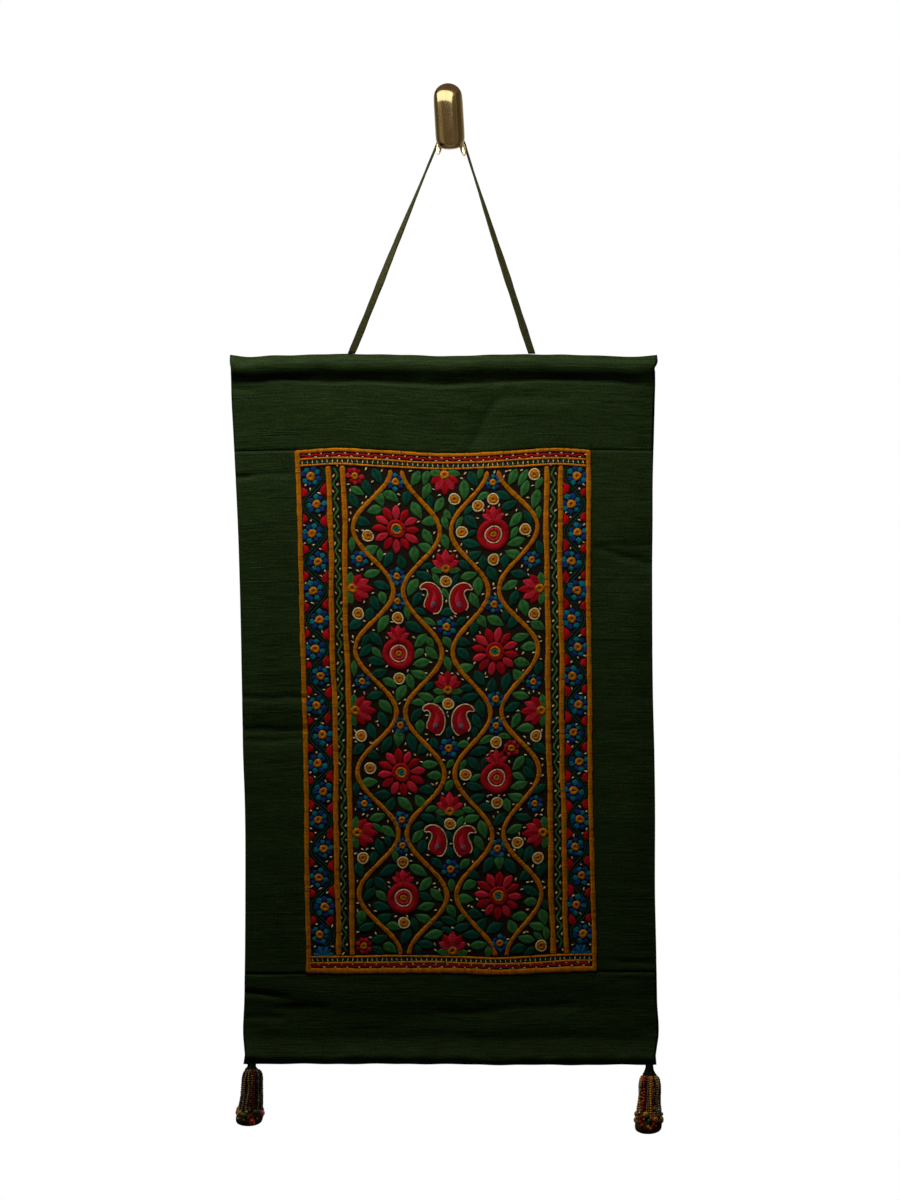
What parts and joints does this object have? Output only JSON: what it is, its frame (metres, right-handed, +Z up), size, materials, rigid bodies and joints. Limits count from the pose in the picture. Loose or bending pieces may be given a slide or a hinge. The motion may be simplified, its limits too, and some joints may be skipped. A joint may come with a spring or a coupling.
{
  "type": "embroidered hanging panel on a brass wall hook",
  "caption": "Embroidered cloth panel framed in green raw silk, with rod sleeves, a hanging tape and beaded tassels, on a capped brass wall hook.",
  "frame": {"origin": "middle of the hook plate's flat back, on the wall", "axes": "+X to the viewer's right, +Y into the wall, +Z up; the front of the panel faces -Y"},
  "size_m": [0.3118, 0.0245, 0.7559],
  "materials": {
    "green_silk": "raw silk with horizontal slubs, soft dull sheen",
    "embroidered_cotton": "dark brown cotton covered in coloured satin and chain stitch",
    "glass_beads": "glossy small beads in mixed colours over a brown thread skirt",
    "aged_brass": "satin, slightly darkened",
    "polished_wire": "polished"
  },
  "bodies": {
    "root": {"silk_top_band": "green_silk", "silk_bottom_band": "green_silk", "silk_left_strip": "green_silk", "silk_right_strip": "green_silk", "embroidered_cloth": "embroidered_cotton", "hanging_tape": "green_silk", "hook_plate": "polished_wire", "hook_saddle": "polished_wire", "hook_cap": "aged_brass", "hook_claw_left": "polished_wire", "hook_claw_right": "polished_wire", "tassel_tie_left": "green_silk", "tassel_tie_right": "green_silk", "tassel_left": "glass_beads", "tassel_right": "glass_beads"}
  },
  "joints": []
}
